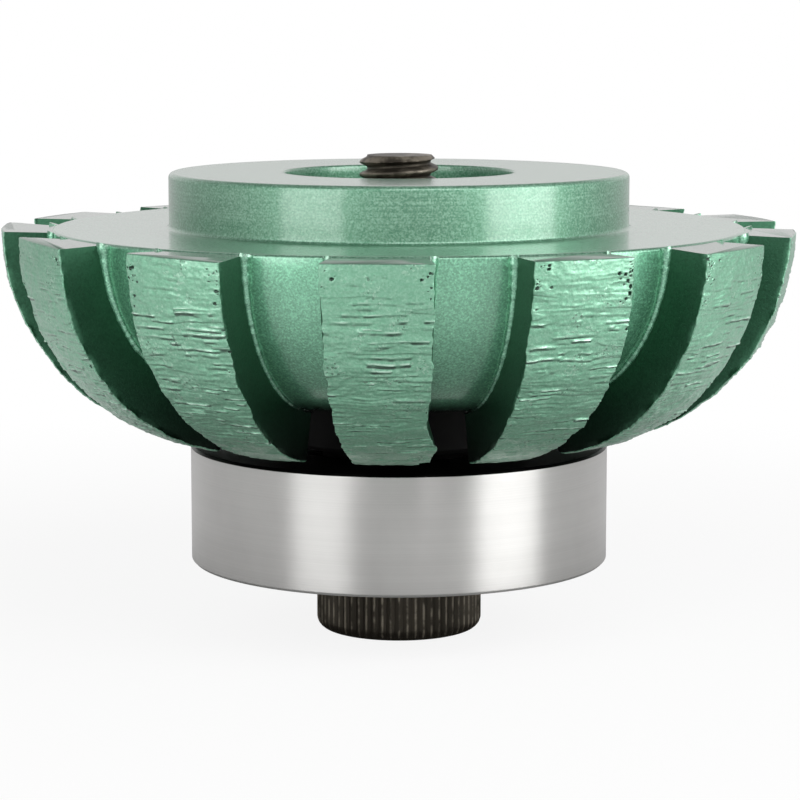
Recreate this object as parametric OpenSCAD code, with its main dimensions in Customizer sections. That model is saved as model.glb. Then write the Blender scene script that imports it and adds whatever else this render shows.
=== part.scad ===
// Segmented diamond profile wheel for stone edges, with a ball-bearing guide ring.
// The wheel cuts a quarter-round edge, and the guide ring under it runs along the stone.
// Millimetres. The axis is Z, and z = 0 is the lower face of the screw's head.

/* [Wheel] */
// Diameter over the diamond segments
wheel_d = 60.4; // [57:0.2:66]
// Radius of the quarter-round cutting profile
cove_r = 16.2; // [14.6:0.1:17.8]
// Diameter of the hub
hub_d = 35; // [30:0.5:38]
// Height of the hub above the disc
hub_h = 4.15; // [3.5:0.05:6]
// Rounding of the hub's top edge
hub_round = 0.4; // [0.2:0.1:0.8]
// Fillet at the foot of the hub
hub_fillet = 0.3; // [0.1:0.05:0.6]
// Diameter of the recess that centres the arbor
recess_d = 17.5; // [15:0.5:20]
// Depth of the recess
recess_depth = 9.8; // [8:0.1:11]
// Edge break at the mouth of the recess
recess_edge = 0.2; // [0.1:0.05:0.5]

/* [Segments] */
// Height of a segment above the gullet floor
segment_h = 3.9; // [3:0.1:5]
// Angle that one segment takes up
segment_angle = 14.8; // [11:0.2:17]
// Direction of the first segment, seen from above
first_segment = -92.8; // [-180:0.1:180]
// How far the tops of the segments lie under the disc
segment_drop = 0.1; // [0.05:0.05:0.2]
// Angle down the profile at which a segment ends
segment_end = 82; // [74:1:86]
// Rounding where the disc turns down into a gullet
gullet_round = 0.25; // [0.2:0.05:0.6]
// Radius of the braze fillet beside a segment
braze_r = 0.6; // [0.4:0.1:1]

/* [Guide ring] */
// Outside diameter of the guide ring
ring_d = 32; // [29:0.5:36]
// Width of the guide ring
ring_w = 9; // [8.5:0.1:11]
// Chamfer on the rims of the guide ring
ring_edge = 0.35; // [0.2:0.05:0.8]
// Running gap between the guide ring and the wheel
ring_gap = 0.4; // [0.3:0.05:1]
// How far the ring's lip reaches in over the bearing
ring_lip = 1.6; // [1:0.1:2]
// Diameter of the spacer where it stands on the bearing
spacer_d = 11.8; // [10.5:0.1:12]
// How far the spacer's flange reaches out over the ring's lip
flange_over = 0.4; // [0.2:0.1:1.5]
// Edge break at the flange's lower rim
flange_edge = 0.3; // [0.1:0.1:0.6]

/* [Bearing] */
// Outside diameter of the ball bearing
bearing_d = 22; // [21:0.5:24]
// Width of the ball bearing
bearing_w = 7; // [6.5:0.1:7.5]
// Diameter of one ball
ball_d = 3.969; // [3.5:0.001:4.1]
// Chamfer on the bearing's rings
bearing_edge = 0.3; // [0.1:0.05:0.4]
// Thickness of a seal
seal_t = 0.6; // [0.4:0.05:0.7]
// Depth of a seal below the bearing's face
seal_inset = 0.25; // [0.1:0.05:0.4]

/* [Screw] */
// Diameter of the screw's shoulder
shoulder_d = 8; // [7.5:0.1:8.5]
// Length of the screw's shoulder
shoulder_l = 20; // [18:0.5:21]
// Diameter of the screw's thread
thread_d = 6; // [5:0.5:7]
// Length of the threaded end, with its neck
thread_l = 11; // [9:0.5:13]
// Diameter of the relief neck
neck_d = 4.5; // [4:0.1:4.8]
// Length of the relief neck
neck_l = 1.6; // [1:0.1:2.5]
// Diameter of the screw's head
head_d = 12.7; // [11.5:0.1:14]
// Height of the screw's head
head_h = 5.5; // [5:0.1:7]
// Rounding of the head's lower rim
head_round = 0.9; // [0.5:0.1:1.4]
// Hexagon socket, across its flats
socket_af = 4; // [3:0.5:5]
// Depth of the hexagon socket
socket_depth = 3.3; // [2.5:0.1:4]
// Chamfer at the ends of the thread, the shoulder and the head
screw_edge = 0.5; // [0.2:0.1:0.7]

/* [Fits] */
// Radial running clearance on the screw's shoulder
shoulder_play = 0.04; // [0.02:0.01:0.08]
// Clearance between a ball and each of its grooves
ball_play = 0.03; // [0.02:0.01:0.06]
// Clearance between a ball and its cage pocket
pocket_play = 0.08; // [0.05:0.01:0.1]
// Clearance between a seal's lip and the inner ring
seal_play = 0.15; // [0.1:0.05:0.3]

/* [Hidden] */
$fn = 96;

// The nodes: repeated pieces are numbered
SEGMENTS = [for (i = [1:13]) str("segment_", i < 10 ? "0" : "", i)];
BALLS = [for (i = [1:7]) str("ball_", i)];

// Steps in a quarter turn of an arc: in a turned profile, and in a braze fillet
ARC_STEPS = 18;
BRAZE_STEPS = 4;

// How far a cut reaches past the face that it opens
CUT = 1;

// Proportions of the bearing, as parts of the ball's diameter
GROOVE_RATIO = 0.52;
INNER_LAND_RATIO = 0.365;
OUTER_LAND_RATIO = 0.4;
CAGE_WALL_RATIO = 0.3;
CAGE_RISE_RATIO = 0.28;
// Width of the step that seats a seal
SEAL_STEP = 0.5;
// Thickness of the cage under the balls
CAGE_FLOOR = 0.35;

// Heights, from the screw's head up
bearing_mid = head_h + bearing_w / 2;
bearing_top = head_h + bearing_w;
ring_top = head_h + ring_w;
profile_bottom = ring_top + ring_gap;
disc_top = profile_bottom + cove_r;
hub_top = disc_top + hub_h;
recess_floor = hub_top - recess_depth;
shoulder_top = head_h + shoulder_l;
screw_tip = shoulder_top + thread_l;

// Cutting profile: one centre for the segments' faces and the gullet floors
cove_centre = [wheel_d / 2 - cove_r, disc_top];
floor_r = cove_r - segment_h;
shoulder_offset = sqrt(pow(floor_r - gullet_round, 2) - pow(gullet_round, 2));
gullet_centre = [cove_centre.x + shoulder_offset, disc_top - gullet_round];
// Where the gullet's rounding runs into its floor, and where a segment's top meets the rounding
blend_angle = asin(gullet_round / (floor_r - gullet_round));
segment_top_angle = asin(1 - segment_drop / gullet_round);
segment_rim_angle = asin(segment_drop / cove_r);
// The gullet floors run level into the underside of the body
underside = disc_top - floor_r;

// Bearing sizes that follow from the ball and the bore
pitch_r = (shoulder_d + bearing_d) / 4;
groove_r = GROOVE_RATIO * ball_d;
inner_land_r = pitch_r - INNER_LAND_RATIO * ball_d;
outer_land_r = pitch_r + OUTER_LAND_RATIO * ball_d;
seal_seat_r = outer_land_r + SEAL_STEP;
seal_depth = seal_inset + seal_t;
cage_w = CAGE_WALL_RATIO * ball_d;
cage_bottom = bearing_mid - ball_d / 2 - CAGE_FLOOR;
cage_top = bearing_mid + CAGE_RISE_RATIO * ball_d;
sleeve_r = shoulder_d / 2 + shoulder_play;

// The guide ring's lip lies over the bearing, and the spacer's flange over the lip
lip_r = bearing_d / 2 - ring_lip;
flange_r = lip_r + flange_over;

// Points on an arc about c, from angle a to angle b, in about as many steps as its length needs
function arc(c, r, a, b, steps = ARC_STEPS) =
    let (n = ceil(steps * abs(b - a) / 90))
    [for (i = [0:n]) c + r * [cos(a + (b - a) * i / n), sin(a + (b - a) * i / n)]];

// The gullet's section, split where a segment begins and ends so that both fit the same surface
function floor_under_segment() = concat(
    arc(cove_centre, floor_r, -segment_end, -blend_angle),
    arc(gullet_centre, gullet_round, -blend_angle, segment_top_angle)
);

// Turned ring with a rectangular section and both rims of its outer wall chamfered
module chamfered_ring(inner_r, outer_r, z0, z1, edge) {
    rotate_extrude()
        polygon([
            [inner_r, z0],
            [outer_r - edge, z0],
            [outer_r, z0 + edge],
            [outer_r, z1 - edge],
            [outer_r - edge, z1],
            [inner_r, z1]
        ]);
}

// Steel body: hub, disc and gullet floors, turned in one piece
module wheel_body() {
    color("#6ea88c")
        rotate_extrude()
            polygon(concat(
                [[sleeve_r, underside]],
                arc(cove_centre, floor_r, -90, -segment_end),
                floor_under_segment(),
                arc(gullet_centre, gullet_round, segment_top_angle, 90),
                arc([hub_d / 2 + hub_fillet, disc_top + hub_fillet], hub_fillet, 270, 180),
                arc([hub_d / 2 - hub_round, hub_top - hub_round], hub_round, 0, 90),
                [[recess_d / 2 + recess_edge, hub_top], [recess_d / 2, hub_top - recess_edge]],
                [[recess_d / 2, recess_floor], [sleeve_r, recess_floor]]
            ));
}

// Turns its children from the X axis to segment i
module at_segment(i) {
    rotate([0, 0, first_segment + i * 360 / len(SEGMENTS)])
        children();
}

// One diamond segment, brazed to the gullet floor
module segment(i) {
    color("#93bea6")
        at_segment(i)
            rotate([0, 0, -segment_angle / 2])
                rotate_extrude(angle = segment_angle)
                    polygon(concat(
                        floor_under_segment(),
                        arc(cove_centre, cove_r, -segment_rim_angle, -segment_end)
                    ));
}

// Fillet on one side of a segment, from the top of the gullet's floor down to the segment's end
module braze_side() {
    rotate([0, 0, segment_angle / 2])
        translate([cove_centre.x, 0, cove_centre.y])
            rotate([-90, 0, 0])
                rotate([0, 0, blend_angle])
                    rotate_extrude(angle = segment_end - blend_angle)
                        polygon(concat(
                            [[floor_r, 0]],
                            arc([floor_r + braze_r, braze_r], braze_r, 270, 180, BRAZE_STEPS)
                        ));
}

// Braze metal along both sides of every segment
module braze_fillets() {
    color("#7fb296")
        for (i = [0:len(SEGMENTS) - 1])
            at_segment(i) {
                braze_side();
                mirror([0, 1, 0])
                    braze_side();
            }
}

// Flanged sleeve that holds the wheel clear of the guide ring
module spacer() {
    color("#3b3431")
        rotate_extrude()
            polygon([
                [sleeve_r, bearing_top],
                [spacer_d / 2, bearing_top],
                [spacer_d / 2, profile_bottom],
                [flange_r - flange_edge, profile_bottom],
                [flange_r, profile_bottom + flange_edge],
                [flange_r, underside],
                [sleeve_r, underside]
            ]);
}

// Guide ring: pressed over the bearing, with a lip above it
module guide_ring() {
    color("#c9c9c9")
        difference() {
            chamfered_ring(lip_r, ring_d / 2, head_h, ring_top, ring_edge);
            translate([0, 0, head_h - CUT])
                cylinder(r = bearing_d / 2, h = bearing_w + CUT);
        }
}

// Outer race, with a ball groove and a seat for a seal at each end
module bearing_outer_ring() {
    color("#a9adb0")
        difference() {
            chamfered_ring(outer_land_r, bearing_d / 2, head_h, bearing_top, bearing_edge);
            for (z = [head_h - CUT, bearing_top - seal_depth])
                translate([0, 0, z])
                    cylinder(r = seal_seat_r, h = seal_depth + CUT);
            ball_groove(pitch_r + ball_d / 2 + ball_play - groove_r);
        }
}

// Inner race, clamped between the screw's head and the spacer
module bearing_inner_ring() {
    color("#a9adb0")
        difference() {
            chamfered_ring(sleeve_r, inner_land_r, head_h, bearing_top, bearing_edge);
            ball_groove(pitch_r - ball_d / 2 - ball_play + groove_r);
        }
}

// Ring-shaped space that a ball groove takes out of a race
module ball_groove(centre_r) {
    translate([0, 0, bearing_mid])
        rotate_extrude()
            translate([centre_r, 0])
                circle(r = groove_r);
}

// Moves its children from the origin to ball i
module at_ball(i) {
    rotate([0, 0, i * 360 / len(BALLS)])
        translate([pitch_r, 0, bearing_mid])
            children();
}

// One ball
module ball(i) {
    color("#c3c7ca")
        at_ball(i)
            sphere(d = ball_d);
}

// Snap cage: the balls go into its pockets from above
module bearing_cage() {
    color("#d8d2bd")
        difference() {
            rotate_extrude()
                translate([pitch_r - cage_w / 2, cage_bottom])
                    square([cage_w, cage_top - cage_bottom]);
            for (i = [0:len(BALLS) - 1])
                at_ball(i)
                    sphere(r = ball_d / 2 + pocket_play);
        }
}

// Seal disc held in the outer race, with its lip just clear of the inner one
module seal(z) {
    color("#2b2a2a")
        rotate_extrude()
            translate([inner_land_r + seal_play, z])
                square([seal_seat_r - inner_land_r - seal_play, seal_t]);
}

module seal_upper() {
    seal(bearing_top - seal_depth);
}

module seal_lower() {
    seal(head_h + seal_inset);
}

// Shoulder screw: round head with a hexagon socket, ground shoulder, relief neck and threaded end
module shoulder_screw() {
    thread_start = shoulder_top + neck_l;
    thread_relief = (thread_d - neck_d) / 2;
    drill_point = socket_af / 4;
    color("#3b3431")
        difference() {
            rotate_extrude()
                polygon(concat(
                    [[0, 0]],
                    arc([head_d / 2 - head_round, head_round], head_round, -90, 0),
                    [[head_d / 2, head_h - screw_edge / 2], [head_d / 2 - screw_edge / 2, head_h]],
                    [[shoulder_d / 2, head_h], [shoulder_d / 2, shoulder_top - screw_edge]],
                    [[shoulder_d / 2 - screw_edge, shoulder_top], [neck_d / 2, shoulder_top]],
                    [[neck_d / 2, thread_start], [thread_d / 2, thread_start + thread_relief]],
                    [[thread_d / 2, screw_tip - screw_edge], [thread_d / 2 - screw_edge, screw_tip]],
                    [[0, screw_tip]]
                ));
            translate([0, 0, -CUT])
                cylinder(d = socket_af / cos(30), h = socket_depth + CUT, $fn = 6);
            translate([0, 0, socket_depth])
                cylinder(d1 = socket_af, d2 = 0, h = drill_point);
        }
}

wheel_body();
braze_fillets();
spacer();
guide_ring();
shoulder_screw();
bearing_outer_ring();
bearing_inner_ring();
bearing_cage();
seal_upper();
seal_lower();
for (i = [0:len(SEGMENTS) - 1])
    segment(i);
for (i = [0:len(BALLS) - 1])
    ball(i);
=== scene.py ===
"""Segmented diamond profile wheel with a ball-bearing guide ring, dressed and set on a stage.

The packed solids are the frame. The pieces that show are worked out here as grids and turned
profiles, in metres, about the wheel's axis, and take the place of their solids.
"""

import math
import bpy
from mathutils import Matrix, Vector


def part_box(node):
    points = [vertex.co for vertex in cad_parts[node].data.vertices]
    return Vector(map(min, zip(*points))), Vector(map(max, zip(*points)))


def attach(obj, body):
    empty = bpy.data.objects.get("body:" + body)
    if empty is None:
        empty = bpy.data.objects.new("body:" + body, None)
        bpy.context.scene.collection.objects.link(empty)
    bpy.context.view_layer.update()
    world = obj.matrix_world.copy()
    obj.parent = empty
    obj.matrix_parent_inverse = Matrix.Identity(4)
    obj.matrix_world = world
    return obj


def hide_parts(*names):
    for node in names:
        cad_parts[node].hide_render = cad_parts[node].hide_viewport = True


bl_info = {
    "name": "Diamond profile wheel",
    "version": (1, 0, 0),
    "blender": (4, 5, 0),
    "location": "3D View > Sidebar > Profile wheel",
    "description": "Builds a segmented diamond profile wheel with its guide ring, screw and stage",
    "category": "Object",
}

from types import SimpleNamespace

import bpy
import numpy as np
from bpy.props import FloatProperty, FloatVectorProperty, IntProperty, PointerProperty
from mathutils import Vector

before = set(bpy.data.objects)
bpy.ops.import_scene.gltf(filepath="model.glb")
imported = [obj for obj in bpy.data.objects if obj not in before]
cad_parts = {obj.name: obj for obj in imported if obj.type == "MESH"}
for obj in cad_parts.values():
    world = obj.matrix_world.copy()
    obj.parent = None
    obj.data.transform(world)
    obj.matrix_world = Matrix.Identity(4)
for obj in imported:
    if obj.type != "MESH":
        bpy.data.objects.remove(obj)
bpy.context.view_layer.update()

MM = 0.001
TURN = 2 * math.pi

BODY_LOW, BODY_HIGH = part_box("wheel_body")
RING_LOW, RING_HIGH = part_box("guide_ring")
SCREW_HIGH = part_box("shoulder_screw")[1]
BEARING_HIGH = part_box("bearing_outer_ring")[1]
SEGMENTS = sorted(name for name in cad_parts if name.startswith("segment_"))
BALLS = sorted(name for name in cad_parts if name.startswith("ball_"))


def length(name, description, default):
    """A length property, in metres."""
    return FloatProperty(
        name=name, description=description, default=default, unit="LENGTH", subtype="DISTANCE", precision=5
    )


def angle(name, description, degrees):
    """An angle property, given in degrees and kept in radians."""
    return FloatProperty(
        name=name, description=description, default=math.radians(degrees), unit="ROTATION", subtype="ANGLE"
    )


def colour(name, description, default):
    """A colour property, as linear red, green and blue."""
    return FloatVectorProperty(
        name=name, description=description, default=default, subtype="COLOR", size=3, min=0, max=1
    )


def amount(name, description, default):
    """A plain number."""
    return FloatProperty(name=name, description=description, default=default)


class WheelSizes(bpy.types.PropertyGroup):
    """Sizes of the wheel body, its segments and their braze."""

    wheel_radius: length("Wheel radius", "Radius over the diamond segments", 30.2 * MM)
    profile_radius: length("Profile radius", "Radius of the quarter-round cutting profile", 16.2 * MM)
    hub_radius: length("Hub radius", "Radius of the hub", 17.5 * MM)
    hub_height: length("Hub height", "Height of the hub above the disc", 4.15 * MM)
    hub_round: length("Hub rounding", "Rounding of the hub's top edge", 0.4 * MM)
    hub_fillet: length("Hub fillet", "Fillet at the foot of the hub", 0.3 * MM)
    recess_radius: length("Recess radius", "Radius of the recess that centres the arbor", 8.75 * MM)
    recess_depth: length("Recess depth", "Depth of the recess", 9.8 * MM)
    edge_break: length("Edge break", "Rounding of the small edges", 0.2 * MM)
    bore_radius: length("Bore radius", "Radius of the bore round the screw's shoulder", 4.04 * MM)
    gullet_round: length("Gullet rounding", "Rounding where the disc turns down into a gullet", 0.25 * MM)
    segment_height: length("Segment height", "Height of a segment above the gullet floor", 3.9 * MM)
    segment_drop: length("Segment drop", "How far the segments' tops lie under the disc", 0.1 * MM)
    segment_angle: angle("Segment angle", "Angle that one segment takes up round the wheel", 14.8)
    first_segment: angle("First segment", "Direction of the first segment, seen from above", -92.8)
    segment_end: angle("Segment end", "Angle down the profile at which a segment ends", 82)
    braze_radius: length("Braze radius", "Radius of the braze fillet beside a segment", 0.6 * MM)


class RingSizes(bpy.types.PropertyGroup):
    """Sizes of the guide ring."""

    outer_radius: length("Outer radius", "Outside radius of the guide ring", RING_HIGH.x)
    seat_radius: length("Seat radius", "Radius of the bearing's seat", BEARING_HIGH.x)
    lip_radius: length("Lip radius", "Radius of the hole in the lip above the bearing", 9.4 * MM)
    edge: length("Edge", "Chamfer on the rims", 0.2 * MM)


class ScrewSizes(bpy.types.PropertyGroup):
    """Sizes of the shoulder screw, with its knurl and thread."""

    head_radius: length("Head radius", "Radius of the knurled head", SCREW_HIGH.x)
    head_height: length("Head height", "Height of the head", 5.5 * MM)
    head_round: length("Head rounding", "Rounding of the head's lower rim", 0.9 * MM)
    head_chamfer: length("Head chamfer", "Chamfer on the head's upper rim", 0.3 * MM)
    knurl_count: IntProperty(name="Knurl count", description="Ridges round the head", default=62, min=12)
    knurl_depth: length("Knurl depth", "Depth of the grooves between the ridges", 0.2 * MM)
    socket_flats: length("Socket", "Hexagon socket, across its flats", 4 * MM)
    socket_depth: length("Socket depth", "Depth of the hexagon socket", 3.3 * MM)
    shoulder_radius: length("Shoulder radius", "Radius of the ground shoulder", 4 * MM)
    shoulder_length: length("Shoulder length", "Length of the ground shoulder", 20 * MM)
    neck_radius: length("Neck radius", "Radius of the relief neck", 2.25 * MM)
    neck_length: length("Neck length", "Length of the relief neck", 1.6 * MM)
    thread_radius: length("Thread radius", "Radius over the thread", 3 * MM)
    thread_depth: length("Thread depth", "Depth of the thread", 0.58 * MM)
    thread_pitch: length("Thread pitch", "Rise of the thread in one turn", 1 * MM)
    tip_chamfer: length("Tip chamfer", "Chamfer at the thread's tip", 0.5 * MM)


class FinishColours(bpy.types.PropertyGroup):
    """Colours of the finishes."""

    paint: colour("Paint", "Green paint of the wheel", (0.082, 0.275, 0.16))
    paint_flake: colour("Paint flake", "Metal flakes in the paint", (0.35, 0.62, 0.46))
    # Painted light: a lighter copy of the green paint, standing in for the light that reaches the gullet
    # floors
    gullet: colour("Gullet", "Paint on the gullet floors", (0.215, 0.585, 0.375))
    # Partly painted highlight: it lightens the faces' ridges, and the beads' paint so that they read as a
    # light line
    braze: colour("Braze", "Paint over the bright beads of braze", (0.58, 0.82, 0.68))
    segment_face: colour("Segment face", "Paint over the segments' faces", (0.175, 0.44, 0.285))
    # Painted shade: a darker copy of the paint for the segments' walls, where shade falls in the gullets
    shaded_wall: colour("Segment wall", "Shaded paint down the segments' walls", (0.06, 0.18, 0.105))
    # Painted shade: the dark of the faces' pits and grooves
    pit_shade: colour("Segment low spots", "Pits and grooves of the faces", (0.025, 0.07, 0.045))
    segment_top: colour("Segment top", "Bare ends of the segments", (0.20, 0.30, 0.24))
    ring_steel: colour("Ring steel", "Turned steel of the guide ring", (0.67, 0.665, 0.65))
    bearing_steel: colour("Bearing steel", "Ground steel of the bearing", (0.52, 0.52, 0.53))
    oxide: colour("Black oxide", "Finish of the screw", (0.056, 0.049, 0.037))
    oxide_worn: colour("Worn oxide", "Rubbed ridges of the screw", (0.30, 0.27, 0.215))
    cage: colour("Cage", "Moulded cage of the bearing", (0.62, 0.56, 0.42))
    # Painted shade: near-black that stands for the shade under the wheel, on the body's underside, the walls'
    # feet, the ring's top and the spacer
    painted_shade: colour("Shade_black", "Black faces between the ring and the wheel", (0.006, 0.006, 0.006))
    rubber: colour("Rubber", "Seals of the bearing", (0.022, 0.021, 0.021))


class StageSettings(bpy.types.PropertyGroup):
    """Camera, lamps, world and floor."""

    camera_side: length("Camera side", "Camera's place to the right of the axis", 0.08 * MM)
    camera_back: length("Camera distance", "Camera's distance in front of the axis", 219.8 * MM)
    camera_height: length("Camera height", "Camera's height above the floor", 48.7 * MM)
    camera_tilt: angle("Camera tilt", "How far the camera looks down", 8.037)
    camera_lens: amount("Lens", "Focal length of the camera in millimetres", 129.83)
    left_lamp: amount("Left lamp", "Radiance of the left softbox", 2.05)
    right_lamp: amount("Right lamp", "Radiance of the right softbox", 3.2)
    front_lamp: amount("Front lamp", "Radiance of the softbox above the camera", 2.6)
    sky_front: amount("Sky in front", "Light from the side of the camera", 0.55)
    sky_back: amount("Sky behind", "Light from behind the wheel", 0.84)
    floor_colour: colour("Floor", "Pale floor", (0.92, 0.92, 0.92))
    floor_shade: colour("Floor in light", "Floor as the wheel's underside meets it", (0.35, 0.35, 0.35))


SETTINGS = {
    "wheel_sizes": WheelSizes,
    "ring_sizes": RingSizes,
    "screw_sizes": ScrewSizes,
    "wheel_finish": FinishColours,
    "wheel_stage": StageSettings,
}


# Curves and grids


def arc(centre, radius, start, end, count):
    """Points on a circle about a centre: centre + radius * (cos a, sin a), with a in even steps."""
    turn = np.linspace(start, end, count)
    return np.asarray(centre) + radius * np.stack([np.cos(turn), np.sin(turn)], axis=1)


def rounded(corners, count=7):
    """Closed outline through corners (x, y, radius).

    Each corner becomes an arc that touches both of its sides: the arc begins radius / tan(half the
    corner's angle) from the corner, and a radius of 0 leaves the corner sharp.
    """
    points = []
    before = corners[-1:] + corners[:-1]
    after = corners[1:] + corners[:1]
    for (x, y, radius), previous, following in zip(corners, before, after):
        corner = np.array((x, y))
        if radius == 0:
            points.append(corner[None])
            continue
        back = np.array(previous[:2]) - corner
        ahead = np.array(following[:2]) - corner
        back = back / np.linalg.norm(back)
        ahead = ahead / np.linalg.norm(ahead)
        half = math.acos(float(np.clip(back @ ahead, -1, 1))) / 2
        middle = (back + ahead) / np.linalg.norm(back + ahead)
        centre = corner + middle * radius / math.sin(half)
        first = corner + back * radius / math.tan(half) - centre
        last = corner + ahead * radius / math.tan(half) - centre
        start = math.atan2(first[1], first[0])
        sweep = (math.atan2(last[1], last[0]) - start + math.pi) % TURN - math.pi
        points.append(arc(centre, radius, start, start + sweep, count))
    return np.concatenate(points)


def refined(outline, step):
    """Closed outline with its sides split evenly, so that none is longer than the step."""
    sides = np.roll(outline, -1, axis=0) - outline
    counts = np.maximum(np.ceil(np.linalg.norm(sides, axis=1) / step), 1).astype(int)
    first = np.repeat(np.cumsum(counts) - counts, counts)
    share = (np.arange(counts.sum()) - first) / np.repeat(counts, counts)
    return np.repeat(outline, counts, axis=0) + np.repeat(sides, counts, axis=0) * share[:, None]


def resampled(path, count):
    """Open path with points at even distances along it."""
    steps = np.linalg.norm(np.diff(path, axis=0), axis=1)
    along = np.concatenate([[0], np.cumsum(steps)])
    places = np.linspace(0, along[-1], count)
    return np.stack([np.interp(places, along, path[:, axis]) for axis in (0, 1)], axis=1)


def smooth(share):
    """Smoothstep: 3 t^2 - 2 t^3, with t held between 0 and 1."""
    share = np.clip(share, 0, 1)
    return share * share * (3 - 2 * share)


def noise(u, v, cell_u, cell_v, chance):
    """Random numbers from 0 to 1 on a lattice of cells, joined by the smoothstep of the place in a cell."""
    a = (u - u.min()) / cell_u
    b = (v - v.min()) / cell_v
    i = np.floor(a).astype(int)
    j = np.floor(b).astype(int)
    lattice = chance.random((i.max() + 2, j.max() + 2))
    s = smooth(a - i)
    t = smooth(b - j)
    near = lattice[i, j] * (1 - s) + lattice[i + 1, j] * s
    far = lattice[i, j + 1] * (1 - s) + lattice[i + 1, j + 1] * s
    return near * (1 - t) + far * t


def round_axis(radius, turn, height):
    """Points at a radius, a turn about the axis and a height: (r cos a, r sin a, z)."""
    return np.stack(np.broadcast_arrays(radius * np.cos(turn), radius * np.sin(turn), height), axis=-1)


def grid_faces(rows, columns, wrap_rows, wrap_columns):
    """Quads of a grid whose vertex (row, column) has the number row * columns + column."""
    row = np.arange(rows if wrap_rows else rows - 1)[:, None]
    column = np.arange(columns if wrap_columns else columns - 1)[None, :]
    next_row = (row + 1) % rows
    next_column = (column + 1) % columns
    corners = [
        row * columns + column,
        row * columns + next_column,
        next_row * columns + next_column,
        next_row * columns + column,
    ]
    return np.stack(corners, axis=-1).reshape(-1, 4)


def closed_shell(points, faces):
    """Points and faces of a closed shell, with the faces turned outwards.

    Its volume, the sum of a . (b x c) / 6 over the faces' triangles, then comes out positive.
    """
    points = points.reshape(-1, 3)
    volume = 0
    for polygons in faces:
        for corner in range(1, polygons.shape[1] - 1):
            a, b, c = (points[polygons[:, k]] for k in (0, corner, corner + 1))
            volume += np.einsum("ij,ij->", a, np.cross(b, c))
    return points, faces if volume > 0 else [polygons[:, ::-1] for polygons in faces]


def turned(outline, columns):
    """Closed outline (radius, height) carried round the axis."""
    turn = np.arange(columns) * TURN / columns
    points = round_axis(outline[:, :1], turn[None, :], outline[:, 1:])
    return closed_shell(points, [grid_faces(len(outline), columns, True, True)])


def capped(points):
    """Rows of closed rings as a shell: quads between the rings, and one polygon over each end."""
    rows, columns = points.shape[:2]
    last = (rows - 1) * columns
    caps = [np.arange(columns)[None, ::-1], last + np.arange(columns)[None, :]]
    return closed_shell(points, [grid_faces(rows, columns, False, True), *caps])


def joined(shells):
    """Several shells (points, faces) as one, each shell's faces counted on from the points before it."""
    points = np.concatenate([shell[0] for shell in shells])
    starts = np.cumsum([0] + [len(shell[0]) for shell in shells])
    return points, [faces + start for shell, start in zip(shells, starts) for faces in shell[1]]


def mesh_piece(name, shell, materials, body, nodes, values=None, slots=None, sharp=35):
    """Puts a closed shell into a mesh object that rides on a body and stands for CAD nodes.

    values holds numbers for each vertex, kept as attributes, and slots the material of each group of faces.
    Edges sharper than the angle sharp, in degrees, stay hard.
    """
    points, faces = shell
    mesh = bpy.data.meshes.new(name)
    sizes = np.concatenate([np.full(len(polygons), polygons.shape[1]) for polygons in faces])
    loops = np.concatenate([polygons.ravel() for polygons in faces])
    mesh.vertices.add(len(points))
    mesh.vertices.foreach_set("co", points.astype(np.float32).ravel())
    mesh.loops.add(len(loops))
    mesh.loops.foreach_set("vertex_index", loops.astype(np.int32))
    mesh.polygons.add(len(sizes))
    mesh.polygons.foreach_set("loop_start", (np.cumsum(sizes) - sizes).astype(np.int32))
    if slots is not None:
        chosen = np.concatenate([np.full(len(polygons), number) for polygons, number in zip(faces, slots)])
        mesh.polygons.foreach_set("material_index", chosen.astype(np.int32))
    mesh.update(calc_edges=True)
    if mesh.validate():
        raise RuntimeError(f"{name} has faces that do not fit together")
    for key, numbers in (values or {}).items():
        attribute_values = mesh.attributes.new(key, "FLOAT", "POINT").data
        attribute_values.foreach_set("value", numbers.astype(np.float32).ravel())
    mesh.shade_smooth()
    mesh.set_sharp_from_angle(angle=math.radians(sharp))
    for material in materials:
        mesh.materials.append(material)
    piece = bpy.data.objects.new(name, mesh)
    bpy.context.scene.collection.objects.link(piece)
    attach(piece, body)
    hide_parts(*nodes)


# Shader maths


class Socket:
    """A socket in a node tree. Arithmetic on it adds Math nodes."""

    def __init__(self, tree, socket=None):
        self.tree = tree
        self.socket = socket

    def node(self, kind, settings=None, inputs=None, output=0):
        """Adds a node: its settings first, then the values or links of its sockets."""
        made = self.tree.nodes.new(kind)
        for key, value in (settings or {}).items():
            setattr(made, key, value)
        for key, value in (inputs or {}).items():
            target = made.inputs[key]
            if isinstance(value, Socket):
                self.tree.links.new(value.socket, target)
            else:
                target.default_value = value
        return Socket(self.tree, made.outputs[output] if len(made.outputs) else None)

    def outputs(self, *names):
        """Named outputs of the node that this socket belongs to."""
        return [Socket(self.tree, self.socket.node.outputs[name]) for name in names]

    def math(self, operation, *operands):
        """A Math node on numbers or sockets."""
        return self.node("ShaderNodeMath", {"operation": operation}, dict(enumerate(operands)))

    def __add__(self, other):
        return self.math("ADD", self, other)

    __radd__ = __add__

    def __sub__(self, other):
        return self.math("SUBTRACT", self, other)

    def __rsub__(self, other):
        return self.math("SUBTRACT", other, self)

    def __mul__(self, other):
        return self.math("MULTIPLY", self, other)

    __rmul__ = __mul__

    def __pow__(self, other):
        return self.math("POWER", self, other)

    def between(self, low, high):
        """0 below low, 1 above high, and a smooth step from one to the other."""
        settings = {"interpolation_type": "SMOOTHSTEP"}
        return self.node("ShaderNodeMapRange", settings, {"Value": self, "From Min": low, "From Max": high})

    def blend(self, below, above):
        """Mix of two colours, by this value."""
        settings = {"data_type": "RGBA", "clamp_factor": True}
        return self.node("ShaderNodeMix", settings, {0: self, 6: rgba(below), 7: rgba(above)}, 2)


def rgba(shade):
    """A colour property as four numbers, or a socket as it is."""
    return shade if isinstance(shade, Socket) else (*shade, 1)


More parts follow.
